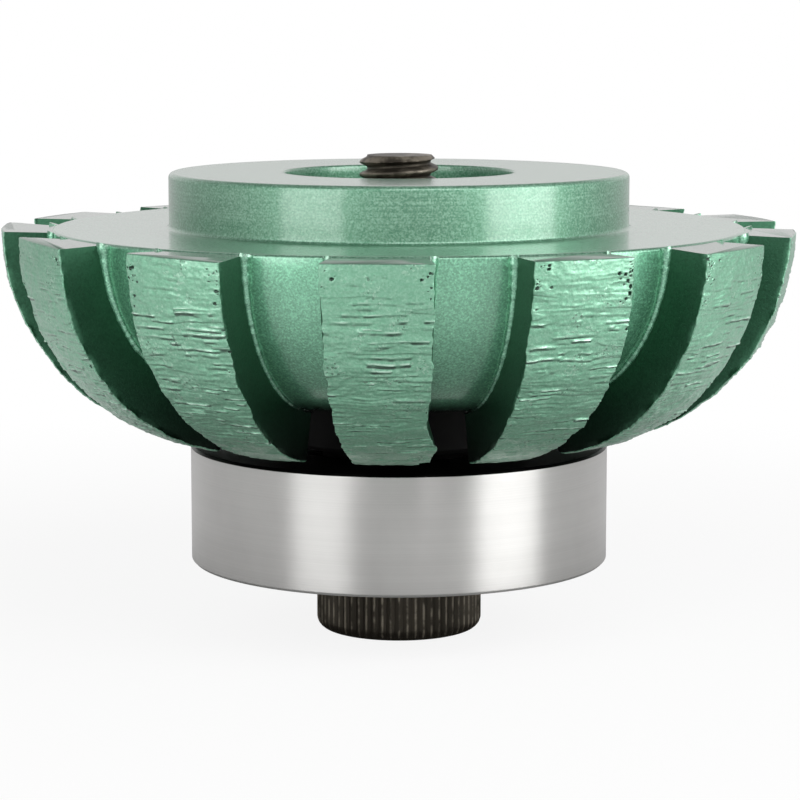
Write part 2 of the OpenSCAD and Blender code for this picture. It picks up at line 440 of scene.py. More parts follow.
def new_material(name):
    """An empty material and the start of its node tree."""
    material = bpy.data.materials.new(name)
    material.use_nodes = True
    material.node_tree.nodes.clear()
    return material, Socket(material.node_tree)


def surface(start, constants, links, bump, bump_height):
    """Principled surface with plain constants, varying links and a bump of a height in metres."""
    bumps = {"Strength": 1.0, "Distance": bump_height, "Height": bump}
    normal = start.node("ShaderNodeBump", None, bumps)
    shader = start.node("ShaderNodeBsdfPrincipled", None, {**constants, **links, "Normal": normal})
    start.node("ShaderNodeOutputMaterial", None, {"Surface": shader})


def grain(start, place, cell, detail=2.0, roughness=0.5):
    """Noise whose cells are about the given size, in metres."""
    inputs = {"Vector": place, "Scale": 1 / cell, "Detail": detail, "Roughness": roughness}
    return start.node("ShaderNodeTexNoise", None, inputs)


def flakes(start, place, cell):
    """A random number from 0 to 1 for each cell of a Voronoi pattern."""
    inputs = {"Vector": place, "Scale": 1 / cell}
    tint = start.node("ShaderNodeTexVoronoi", {"feature": "F1"}, inputs, "Color")
    return start.node("ShaderNodeSeparateColor", None, {"Color": tint}, "Red")


def lathe_place(start, place):
    """Radius and height of a point, as a vector that stays the same all round the axis."""
    x, y, z = start.node("ShaderNodeSeparateXYZ", None, {"Vector": place}).outputs("X", "Y", "Z")
    radius = (x * x + y * y) ** 0.5
    return start.node("ShaderNodeCombineXYZ", None, {"X": radius, "Z": z})


def object_place(start):
    """The point of the surface, in the object's own coordinates."""
    return start.node("ShaderNodeTexCoord", None, None, "Object")


def height_of(start, place):
    """Height of a point."""
    return start.node("ShaderNodeSeparateXYZ", None, {"Vector": place}, "Z")


def attribute(start, name):
    """A number that the mesh keeps for each vertex."""
    settings = {"attribute_type": "GEOMETRY", "attribute_name": name}
    return start.node("ShaderNodeAttribute", settings, None, "Fac")


# Heights over which the paint changes at the disc, painted shade blackens the underside, and painted shade
# blackens the ring's top
PAINT_CHANGE = 0.3 * MM
UNDERSIDE_SHADE_HEIGHT = 1.9 * MM
RING_SHADE_HEIGHT = 0.18 * MM
# Height above the guide ring over which the walls' painted shade lightens from black to the wall colour
WALL_SHADE_FADE = 7.5 * MM


def metal_paint(name, colours, flake_colour, low):
    """Glossy paint with fine metal flakes over turned steel.

    Below the height low it has the gullets' lighter colour, a painted light on the floors, and painted shade
    darkens it to black at the wheel's underside.
    """
    material, start = new_material(name)
    place = object_place(start)
    level = height_of(start, place)
    gullet = 1 - level.between(low - PAINT_CHANGE, low)
    hub = level.between(low, low + PAINT_CHANGE)
    # Painted shade: the last few millimetres above the underside fade to black, where shade falls under the
    # wheel
    edge = level + (grain(start, place, 0.5 * MM) - 0.5) * 0.6 * MM
    unshaded = edge.between(BODY_LOW.z, BODY_LOW.z + UNDERSIDE_SHADE_HEIGHT)
    patches = grain(start, place, 1.5 * MM).between(0.45, 0.65)
    height_only = start.node("ShaderNodeCombineXYZ", None, {"Z": level})
    lines = (grain(start, height_only, 0.2 * MM, 2.0, 0.6) - 0.5) * (0.25 + patches) * hub
    cloud = grain(start, place, 2.5 * MM, 3.0)
    flake = flakes(start, place, 0.11 * MM)
    mottle = grain(start, place, 0.15 * MM, 1.0)
    bright = (flake - 0.5) * 0.9 + (mottle - 0.5) * 1.6 + (cloud - 0.5) * 0.3 + lines * 2.0
    height = lines * 1.6 + flake * 0.4 + mottle * 0.7
    share = bright.between(-0.7, 1.3)
    painted = share.blend(colours.paint, flake_colour)
    # Painted light: the gullet floors take the lighter gullet colour, mottled
    floor = share.blend([0.76 * part for part in colours.gullet], [1.6 * part for part in colours.gullet])
    surface(
        start,
        {"Metallic": 0.8, "Coat Weight": 1.0, "Coat Roughness": 0.16, "IOR": 1.5, "Coat IOR": 1.75},
        {
            "Base Color": unshaded.blend(colours.painted_shade, (gullet * 0.7).blend(painted, floor)),
            "Roughness": 0.31 + flake * 0.14 + hub * 0.12 + gullet * 0.04,
        },
        height,
        0.01 * MM,
    )
    return material


def pocks(start, place, cell):
    """Small round spots: 1 in the middle of about half the cells of a Voronoi pattern, 0 outside."""
    inputs = {"Vector": place, "Scale": 1 / cell}
    cells = start.node("ShaderNodeTexVoronoi", {"feature": "F1"}, inputs)
    away, tint = cells.outputs("Distance", "Color")
    size = start.node("ShaderNodeSeparateColor", None, {"Color": tint}, "Green").between(0.4, 0.9)
    return (size * 0.45 - away).between(-0.04, 0.08)


def segment_paint(colours):
    """Thin green paint over a rough, dressed diamond face, with painted shade in its pits and grooves and
    painted highlights on its ridges.

    The walls take a darker copy of the paint, a painted shade, which fades to black towards the underside.
    """
    material, start = new_material("segment_paint")
    place = object_place(start)
    relief = attribute(start, "relief")
    face = attribute(start, "face")
    level = height_of(start, place)
    flake = flakes(start, place, 0.14 * MM)
    fine = grain(start, place, 0.16 * MM, 2.0, 0.6)
    broad = grain(start, place, 1.6 * MM, 3.0)
    crowd = broad.between(0.53, 0.63) * face
    grit = flake.between(0.8, 0.9) * crowd
    spots = pocks(start, place, 0.22 * MM) * broad.between(0.58, 0.66) * face
    tone = (fine - 0.5) * 1.7 + (broad - 0.5) * 0.7 + (flake - 0.5) * 0.6 + grit * 0.9
    painted = tone.between(-0.7, 1.3).blend(colours.segment_face, colours.paint_flake)
    # Painted highlight: ridges and pit rims lighten to the braze colour
    lit = relief.between(0.3, 1.7).blend(painted, colours.braze)
    # Painted shade: grooves, the ledges' lines and pits darken to the pit colour
    dark = relief.between(-0.9, -0.05) * (1 - spots * 0.55)
    # Painted shade: the walls darken to black downwards, where shade falls between the segments
    wall_shade_fade = level.between(RING_HIGH.z, RING_HIGH.z + WALL_SHADE_FADE) * (0.9 + tone * 0.3)
    wall = wall_shade_fade.blend(colours.painted_shade, colours.shaded_wall)
    surface(
        start,
        {"Metallic": 0.9, "Coat Roughness": 0.2, "IOR": 1.5, "Coat IOR": 1.6},
        {
            "Base Color": face.blend(wall, dark.blend(colours.pit_shade, lit)),
            "Roughness": 0.42 + fine * 0.12 - grit * 0.12,
            "Coat Weight": face * 0.8,
        },
        fine * (0.25 + face) + flake * 0.4 + grit * 1.8 - spots * 2.5,
        0.016 * MM,
    )
    return material


def segment_top(colours):
    """Rough bare end of a segment, thinly painted."""
    material, start = new_material("segment_top")
    place = object_place(start)
    fine = grain(start, place, 0.16 * MM, 3.0, 0.65)
    broad = grain(start, place, 0.9 * MM)
    base = (fine * 0.6 + broad * 0.6).between(0.35, 0.85).blend(colours.paint, colours.segment_top)
    surface(
        start,
        {"Metallic": 0.9, "Coat Weight": 1.0, "Coat Roughness": 0.12},
        {"Base Color": base, "Roughness": 0.36 + fine * 0.2},
        fine * 0.5 + broad,
        0.012 * MM,
    )
    return material


def turned_metal(name, shade, roughness, line, depth, stretch=0.0, black=1.0, painted_shade=(0, 0, 0)):
    """Bright steel with fine lines from the lathe, which stretch its highlights across themselves.

    Above the height black, a metre where none is given, it is painted black as painted shade.
    """
    material, start = new_material(name)
    place = object_place(start)
    lathe = lathe_place(start, place)
    fine = grain(start, lathe, line, 4.0, 0.7)
    band = grain(start, lathe, 12 * line)
    smudge = grain(start, place, 4 * MM, 3.0)
    tone = fine * 0.35 + band * 0.3 + smudge * 0.35
    dark = tuple(0.86 * part for part in shade)
    level = height_of(start, place)
    bare = tone.between(0.3, 0.7).blend(dark, shade)
    surface(
        start,
        {"Metallic": 1.0, "Anisotropic": stretch, "Anisotropic Rotation": 0.25},
        {
            # Painted shade: black above the height black
            "Base Color": level.between(black - 0.04 * MM, black).blend(bare, painted_shade),
            "Roughness": roughness + (smudge - 0.5) * 0.08 + (band - 0.5) * 0.06,
        },
        fine,
        depth,
    )
    return material


def black_oxide(colours):
    """Brown-black oxide on steel, rubbed lighter along the ridges."""
    material, start = new_material("black_oxide_steel")
    place = object_place(start)
    ridge = attribute(start, "ridge")
    fine = grain(start, place, 0.12 * MM, 3.0, 0.6)
    broad = grain(start, place, 1.2 * MM, 3.0)
    worn = ridge.between(0.5, 1.0) * broad.between(0.3, 0.65) + (fine - 0.5) * 0.4
    base = worn.between(0.0, 1.0).blend(colours.oxide, colours.oxide_worn)
    surface(
        start,
        {"Metallic": 0.75, "Specular IOR Level": 0.5},
        {"Base Color": base, "Roughness": 0.34 + fine * 0.2},
        fine,
        0.012 * MM,
    )
    return material


def moulded(name, shade, cell, roughness):
    """Moulded plastic or rubber with a fine skin."""
    material, start = new_material(name)
    place = object_place(start)
    skin = grain(start, place, cell, 3.0, 0.6)
    broad = grain(start, place, 15 * cell)
    pale = tuple(min(1.0, 1.35 * part + 0.002) for part in shade)
    surface(
        start,
        {"Metallic": 0.0, "Specular IOR Level": 0.2},
        {
            "Base Color": (skin * 0.5 + broad * 0.5).between(0.3, 0.7).blend(shade, pale),
            "Roughness": roughness + (skin - 0.5) * 0.2,
        },
        skin,
        0.01 * MM,
    )
    return material


# Sections of the wheel


def wheel_section(sizes):
    """Heights, centres and angles of the wheel's section, worked out from its sizes.

    The gullet floor's arc has the cutting profile's centre, and a smaller arc inside it, with both
    touching, rounds the way up to the disc.
    """
    top = BODY_HIGH.z - sizes.hub_height
    centre = np.array((sizes.wheel_radius - sizes.profile_radius, top))
    floor_radius = sizes.profile_radius - sizes.segment_height
    inside = floor_radius - sizes.gullet_round
    gullet = np.array((centre[0] + math.sqrt(inside**2 - sizes.gullet_round**2), top - sizes.gullet_round))
    return SimpleNamespace(
        bottom=BODY_LOW.z,
        top=top,
        hub_top=BODY_HIGH.z,
        centre=centre,
        floor_radius=floor_radius,
        gullet=gullet,
        blend=math.asin(sizes.gullet_round / inside),
        top_angle=math.asin(1 - sizes.segment_drop / sizes.gullet_round),
        rim_angle=math.asin(sizes.segment_drop / sizes.profile_radius),
    )


def gullet_path(sizes, section, low, high):
    """The gullet's section from an angle low on its floor, -low, up to the angle high on its rounding."""
    return np.concatenate([
        arc(section.centre, section.floor_radius, -low, -section.blend, 80)[:-1],
        arc(section.gullet, sizes.gullet_round, -section.blend, high, 40),
    ])


def wheel_outline(sizes, section):
    """Closed section of the wheel body: underside, gullet, disc, hub, recess and bore."""
    small = sizes.edge_break
    quarter = math.pi / 2
    foot = (sizes.hub_radius + sizes.hub_fillet, section.top + sizes.hub_fillet)
    brow = (sizes.hub_radius - sizes.hub_round, section.hub_top - sizes.hub_round)
    mouth = (sizes.recess_radius + small, section.hub_top - small)
    floor = section.hub_top - sizes.recess_depth
    return np.concatenate([
        [(sizes.bore_radius, section.bottom)],
        gullet_path(sizes, section, quarter, quarter),
        arc(foot, sizes.hub_fillet, -quarter, -2 * quarter, 9),
        arc(brow, sizes.hub_round, 0, quarter, 9),
        arc(mouth, small, quarter, 2 * quarter, 5),
        [(sizes.recess_radius, floor), (sizes.bore_radius, floor)],
    ])


def half_angle(sizes, index):
    """Half the angle that a segment takes up."""
    return (sizes.segment_angle - math.radians(NARROWER.get(SEGMENTS[index], 0))) / 2


def segment_turn(sizes, index):
    """Direction of a segment's middle, with the little that it was brazed on askew."""
    askew = math.radians(ASKEW.get(SEGMENTS[index], 0))
    return sizes.first_segment + index * TURN / len(SEGMENTS) + askew


# Seeds of the chance that shapes a segment's face and a bead of braze
SEGMENT_SEED = 700
BRAZE_SEED = 900
# Grid of a segment: rows down its profile, points over its face, up a wall, round an edge and underneath
ROWS = 420
FACE_POINTS = 70
WALL_POINTS = 16
EDGE_POINTS = 5
UNDER_POINTS = 6
# Rounding of a segment's edges and of its lower end, and the share of its height that is sunk into the floor
EDGE_RADIUS = 0.06 * MM
END_ROUND = 0.45 * MM
SINK = 0.015
# Marks on a segment's face: the step between their rows, how many lie in a row, and pits strewn over the face
ROW_STEP = 0.45 * MM
ROW_MARKS = 3
STRAY_PITS = 8
# Grid of a bead of braze: rows down it and points round it, and how far its back is sunk in
BEAD_ROWS = 160
BEAD_POINTS = 12
BEAD_SUNK = 0.06 * MM
# Segments that were brazed on a little askew, in degrees, and those that are narrower, also in degrees
ASKEW = {"segment_12": -0.9, "segment_13": -0.5}
NARROWER = {"segment_12": 1.2}
# Rounding of a segment's lower corners in millimetres, left and right
CORNERS = {"segment_01": (1.5, 1.1), "segment_12": (0.4, 0.9)}
# Lumps of braze low on a segment's right wall, in millimetres
LUMPS = {"segment_01": 0.8}
# Pits near a segment's upper corners, left and right
PITS = {
    "segment_01": (6, 10),
    "segment_02": (14, 30),
    "segment_03": (24, 14),
    "segment_12": (5, 12),
    "segment_13": (14, 20),
}
# Segments whose tops sit high or low, in millimetres, and rise to one side
TOP_LEAN = {
    "segment_01": (-0.06, 0.0),
    "segment_03": (-0.14, 0.05),
    "segment_04": (-0.08, 0.0),
    "segment_11": (0.16, -0.05),
    "segment_12": (0.08, -0.17),
    "segment_13": (-0.04, -0.14),
}


def face_relief(u, v, extent, half, pitted, chance):
    """Depth of a segment's face under its true arc, the height of its marks with painted light added, and
    depth of its pits.

    u runs across the face and v down it, as far as the extent. Ridges left by dressing lie in rows across
    the face, a few dashes to a row, each with a groove under it: height * exp(-a^2) less 3/4 of the same a
    step further down, where a is the distance in v over the width, with ends that fade along u. A slow
    noise bends them and a finer one breaks them up. Under them lie ledges, a stretched noise rounded to
    whole steps with a painted shadow line along each, broad waves, scratches and a fine grain. A pit is
    depth * (1 - (distance / radius)^2), with a low rim that also takes a painted highlight.
    """
    down = v / extent
    wander = (noise(u, v, 1.6 * MM, 1.2 * MM, chance) - 0.5) * 0.2 * MM
    rows = np.arange(0.9 * MM, extent - 0.8 * MM, ROW_STEP)
    ridge_v = np.repeat(rows, ROW_MARKS)
    count = len(ridge_v)
    ridge_v = ridge_v + (chance.random(count) - 0.5) * 0.3 * MM
    ridge_u = half * (2.1 * chance.random(count) - 1.0)
    reach = (0.35 + 1.6 * chance.random(count) ** 1.3) * MM
    width = (0.08 + 0.04 * chance.random(count)) * MM
    height = (0.016 + 0.08 * chance.random(count) ** 1.5) * MM
    broken = 0.35 + 1.1 * noise(u, v, 0.4 * MM, 0.3 * MM, chance)
    across = smooth((reach - np.abs(u[..., None] - ridge_u)) / (0.22 * MM)) * height * broken[..., None]
    away = ((v + wander)[..., None] - ridge_v) / width
    grooves = 0.75 * (across * np.exp(-((away - 1.7) ** 2))).max(axis=-1)
    patches = 0.5 + 0.5 * smooth((noise(u, v, 2.2 * MM, 3.0 * MM, chance) - 0.3) / 0.3)
    rough = (0.3 + 0.7 * smooth((down - 0.03) / 0.14)) * (1 - 0.5 * smooth((down - 0.7) / 0.2)) * patches
    marks = ((across * np.exp(-(away**2))).max(axis=-1) - grooves) * rough

    waves = 0.5 * noise(u, v, 2.4 * MM, 2.4 * MM, chance) + 0.7 * noise(u, v, 0.8 * MM, 0.7 * MM, chance)
    fine = noise(u, v, 0.24 * MM, 0.2 * MM, chance)
    scratches = noise(u, v, 1.3 * MM, 0.15 * MM, chance) * (0.4 + 0.6 * rough)
    level = 3.5 * noise(u, v + wander, 3.4 * MM, 1.0 * MM, chance)
    ledges = np.floor(level) + smooth((level % 1 - 0.4) / 0.2)
    slope = np.abs(np.gradient(level, extent / (len(level) - 1), axis=0))
    lines = np.exp(-(((level % 1 - 0.5) / (0.05 * MM * slope + 0.001)) ** 2)) * smooth(slope * MM / 2)
    steps = 0.05 + 0.05 * ledges * (0.4 + 0.6 * rough)
    depth = (steps + 0.08 * waves + 0.035 * fine + 0.03 * scratches) * MM - marks

    left, right = pitted
    inward = np.abs(chance.normal(0, 0.15, left + right + STRAY_PITS))
    edge = np.concatenate([np.full(left, -1), np.full(right, 1), chance.choice([-1, 1], STRAY_PITS)])
    pit_u = half * edge * (0.98 - inward)
    pit_v = np.concatenate([
        0.3 * MM + np.abs(chance.normal(0, 1.3 * MM, left + right)),
        extent * chance.random(STRAY_PITS),
    ])
    pit_radius = (0.05 + 0.11 * chance.random(len(pit_u)) ** 2) * MM
    pit_depth = pit_radius * (0.8 + 0.8 * chance.random(len(pit_u)))
    gap = np.hypot(u[..., None] - pit_u, v[..., None] - pit_v) / pit_radius
    rims = 0.02 * MM * np.exp(-(((gap - 1.3) / 0.3) ** 2)).max(axis=-1)
    pits = (pit_depth * np.clip(1 - gap**2, 0, 1)).max(axis=-1)
    # The second value is painted light: marks lift it on ridges and lower it in grooves, a painted shadow
    # line runs along each ledge, and pit rims take a painted highlight
    return depth - rims, marks - 0.022 * MM * lines * rough + 1.5 * rims, pits


def segment_shell(sizes, section, index):
    """One segment as rows of closed rings down its profile.

    A ring runs up one wall, over the face, down the other wall and back under the floor. A row's wall
    is the straight line between a point of the gullet floor and one of the cutting arc. The face is
    pushed in along the arc's normal by its relief, and the walls' upper edges wander sideways.
    """
    chance = np.random.default_rng(SEGMENT_SEED + index)
    node = SEGMENTS[index]
    floor = resampled(gullet_path(sizes, section, sizes.segment_end, section.top_angle)[::-1], ROWS)
    face = arc(section.centre, sizes.profile_radius, -section.rim_angle, -sizes.segment_end, ROWS)
    normal = (face - section.centre) / sizes.profile_radius
    extent = sizes.profile_radius * (sizes.segment_end - section.rim_angle)

    wall_rise = np.linspace(-SINK, 0.95, WALL_POINTS)
    bend = np.linspace(0, math.pi / 2, EDGE_POINTS)
    across = np.linspace(-1, 1, FACE_POINTS + 2)[1:-1]
    wall = np.ones(WALL_POINTS + EDGE_POINTS)
    side = np.concatenate([-wall, across, wall, np.linspace(1, -1, UNDER_POINTS + 2)[1:-1]])
    top = np.ones(EDGE_POINTS + FACE_POINTS + EDGE_POINTS)
    rise = np.concatenate([wall_rise, top, wall_rise[::-1], np.full(UNDER_POINTS, -SINK)])
    inset = np.zeros_like(side)
    drop = np.zeros_like(side)
    left = slice(WALL_POINTS, len(wall))
    right = slice(len(wall) + FACE_POINTS, WALL_POINTS + len(top))
    inset[left] = EDGE_RADIUS * (1 - np.cos(bend))
    drop[left] = EDGE_RADIUS * (1 - np.sin(bend))
    inset[right] = inset[left][::-1]
    drop[right] = drop[left][::-1]
    on_face = smooth((rise - 0.88) / 0.12)

    down = np.linspace(0, extent, ROWS)[:, None]
    corner = np.where(side < 0, *CORNERS.get(node, (0.4, 0.4))) * MM
    past = np.clip(down - (extent - corner), 0, corner)
    trim = corner - np.sqrt(corner**2 - past**2)
    past = np.clip(down - (extent - END_ROUND), 0, END_ROUND)
    curl = END_ROUND - np.sqrt(END_ROUND**2 - past**2)
    past = np.clip(EDGE_RADIUS - down, 0, EDGE_RADIUS)
    brow = EDGE_RADIUS - np.sqrt(EDGE_RADIUS**2 - past**2)

    half = half_angle(sizes, index) * face[:, :1]
    u = side * half
    v = np.broadcast_to(down, u.shape)
    depth, marks, pits = face_relief(u, v, extent, half.max(), PITS.get(node, (6, 6)), chance)
    hollow = (depth + pits + curl + brow) * on_face + drop
    true_place = floor[:, None] + (face - floor)[:, None] * rise[None, :, None]
    place = true_place - normal[:, None] * hollow[..., None]

    sides = np.sign(side) * 10 * MM + 0 * u
    ragged = 0.24 * noise(sides, v, MM, 1.3 * MM, chance) + 0.13 * noise(sides, v, MM, 0.5 * MM, chance)
    lump = smooth((down / extent - 0.58) / 0.16) * smooth((0.885 - down / extent) / 0.02) * (side > 0)
    lump = lump * LUMPS.get(node, 0)
    sideways = (0.17 - ragged) * MM * on_face - inset + (lump * MM - trim) * smooth(rise)
    turn = segment_turn(sizes, index) + side * half_angle(sizes, index) + side * sideways / place[..., 0]
    lift, lean = TOP_LEAN.get(node, (0, 0))
    lifted = (lift + lean * side) * MM * smooth(1 - down / (4 * MM)) * smooth(rise)
    points = round_axis(place[..., 0], turn, place[..., 1] + lifted)
    values = {
        "face": np.broadcast_to(smooth((rise - 0.96) / 0.04), u.shape),
        # relief drives painted highlights on ridges and pit rims, and painted shade in grooves and pits
        "relief": marks / (0.055 * MM) - pits / (0.05 * MM),
    }
    return capped(points), values


def braze_shell(sizes, section, index, side):
    """Braze fillet along one wall: a round quarter arc carried down the gullet's section.

    Its radius shrinks downwards from a blob at the top, and two noises make it lumpy. The arc's foot lies
    on the floor and its head on the wall, and the back of the ring is sunk a little into both.
    """
    chance = np.random.default_rng(BRAZE_SEED + 2 * index + (side > 0))
    way = gullet_path(sizes, section, sizes.segment_end, 0.9 * section.top_angle)[::-1]
    path = resampled(way, BEAD_ROWS)
    along = np.gradient(path, axis=0)
    along = along / np.linalg.norm(along, axis=1, keepdims=True)
    normal = np.stack([-along[:, 1], along[:, 0]], axis=1)
    normal = normal * np.sign(np.einsum("ij,ij->i", normal, path - section.centre))[:, None]
    share = np.linspace(0, 1, BEAD_ROWS)[:, None]
    lumps = 0.25 * noise(share, share, 1, 0.045, chance) + 0.2 * noise(share, share, 1, 0.013, chance)
    blob = 0.35 * chance.random() * smooth(1 - share / 0.06)
    radius = sizes.braze_radius * (0.1 + 0.75 * lumps + 0.5 * (1 - share) ** 1.5 + blob)
    bend = np.linspace(0, math.pi / 2, BEAD_POINTS)
    sunk = np.full_like(radius, -BEAD_SUNK)
    out = np.concatenate([radius * np.cos(bend), sunk, sunk, radius], axis=1)
    up = np.concatenate([radius * np.sin(bend), radius, sunk, sunk], axis=1)
    place = path[:, None] + normal[:, None] * up[..., None]
    turn = segment_turn(sizes, index) + side * (half_angle(sizes, index) + out / place[..., 0])
    return capped(round_axis(place[..., 0], turn, place[..., 1]))


# Sections of the ring and the screw


def ring_outline(sizes):
    """Closed section of the guide ring: running face, lip above the bearing and the bearing's seat."""
    low, high = RING_LOW.z, RING_HIGH.z
    seat_top = BEARING_HIGH.z
    soft = 0.12 * MM
    edge = sizes.edge
    return rounded([
        (sizes.outer_radius - edge, low, soft),
        (sizes.outer_radius, low + edge, soft),
        (sizes.outer_radius, high - edge, soft),
        (sizes.outer_radius - edge, high, soft),
        (sizes.lip_radius, high, soft),
        (sizes.lip_radius, seat_top, soft),
        (sizes.seat_radius, seat_top, 0),
        (sizes.seat_radius, low, soft),
    ])


def head_shell(sizes):
    """Knurled head: rings from the socket's floor over the lower face, up the side and in to the shoulder.

    The socket's radius at a turn a is the hexagon's, half the flats / cos(a within a sixth - 30 degrees).
    The knurl takes its depth * the share of a triangle wave off the side, faded out at both rims.
    """
    columns = 8 * sizes.knurl_count
    turn = np.arange(columns)[None, :] * TURN / columns
    sixth = TURN / 6
    hexagon = sizes.socket_flats / 2 / np.cos((turn + sixth / 2) % sixth - sixth / 2)
    bevel = 0.25 * MM
    # The head's top ends inside the shoulder, and has no knurl within the plain radius
    inner = 2 * MM
    plain = 3 * MM
    edge = sizes.head_radius - sizes.head_round
    wave = np.abs((turn * sizes.knurl_count / TURN) % 1 * 2 - 1)

    lower = arc((edge, sizes.head_round), sizes.head_round, -math.pi / 2, 0, 14)
    side_z = np.linspace(sizes.head_round, sizes.head_height - sizes.head_chamfer, 12)[1:]
    side = np.stack([np.full_like(side_z, sizes.head_radius), side_z], axis=1)
    rim = sizes.head_radius - sizes.head_chamfer
    upper = np.array([(rim, sizes.head_height), (inner, sizes.head_height)])
    outline = np.concatenate([lower, side, upper])
    fade = smooth((outline[:, 0] - edge - 0.45 * sizes.head_round) / (0.4 * sizes.head_round))
    fade = fade * (outline[:, 0] > plain)

    floor = sizes.socket_depth
    socket_radius = np.concatenate([
        hexagon * 0.1,
        hexagon * 0.96,
        hexagon,
        hexagon,
        np.maximum(hexagon, sizes.socket_flats / 2 + bevel),
        np.full((1, columns), sizes.socket_flats / 2 + 3 * bevel),
    ])
    socket_height = np.array([floor + 0.9 * MM, floor, floor - 0.1 * MM, bevel, 0, 0])[:, None]
    radius = np.concatenate([socket_radius, outline[:, :1] - sizes.knurl_depth * fade[:, None] * wave])
    height = np.concatenate([socket_height, outline[:, 1:]])
    ridge = np.concatenate([np.zeros((len(socket_height), columns)), fade[:, None] * (1 - wave)])
    return capped(round_axis(radius, turn, height)), ridge


def shaft_shell(sizes):
    """Shoulder, neck and thread as rings up the axis.

    At a height z and a turn a the thread's radius is the crest's less its depth * a trapezium wave of
    z / pitch - a / one turn. A cone bounds it at the tip and at the neck.
    """
    columns = 96
    turn = np.arange(columns)[None, :] * TURN / columns
    shoulder_top = sizes.head_height + sizes.shoulder_length
    thread_start = shoulder_top + sizes.neck_length
    tip = SCREW_HIGH.z
    shoulder_edge = 0.35 * MM
    plain = np.array([
        (sizes.shoulder_radius, sizes.head_height - MM),
        (sizes.shoulder_radius, shoulder_top - shoulder_edge),
        (sizes.shoulder_radius - shoulder_edge, shoulder_top),
        (sizes.neck_radius, shoulder_top),
        (sizes.neck_radius, thread_start),
    ])
    height = np.linspace(thread_start, tip, 260)[1:, None]
    wave = np.abs((height / sizes.thread_pitch - turn / TURN) % 1 * 2 - 1)
    crest = sizes.thread_radius - sizes.thread_depth * smooth((wave - 0.12) / 0.76)
    bound = sizes.thread_radius - sizes.tip_chamfer + (tip - height)
    entry = sizes.neck_radius + (height - thread_start)
    thread = np.minimum(np.minimum(crest, bound), entry)
    radius = np.concatenate([np.repeat(plain[:, :1], columns, axis=1), thread])
    level = np.concatenate([plain[:, 1:], height])
    ridge = np.concatenate([np.zeros((len(plain), columns)), 1 - 0.4 * wave])
    return capped(round_axis(radius, turn, level)), ridge


# Operators

# The floor lies just under the screw's head and has a wall round it, in metres
FLOOR_LEVEL = -0.02 * MM
FLOOR_RADIUS = 40.0
WALL_HEIGHT = 1.8
# Width of the camera's sensor in millimetres, and colours of the world's light and the floor
SENSOR_WIDTH = 36
SKY_TINT = (1, 0.975, 0.985, 1)
WHITE = (1, 1, 1, 1)


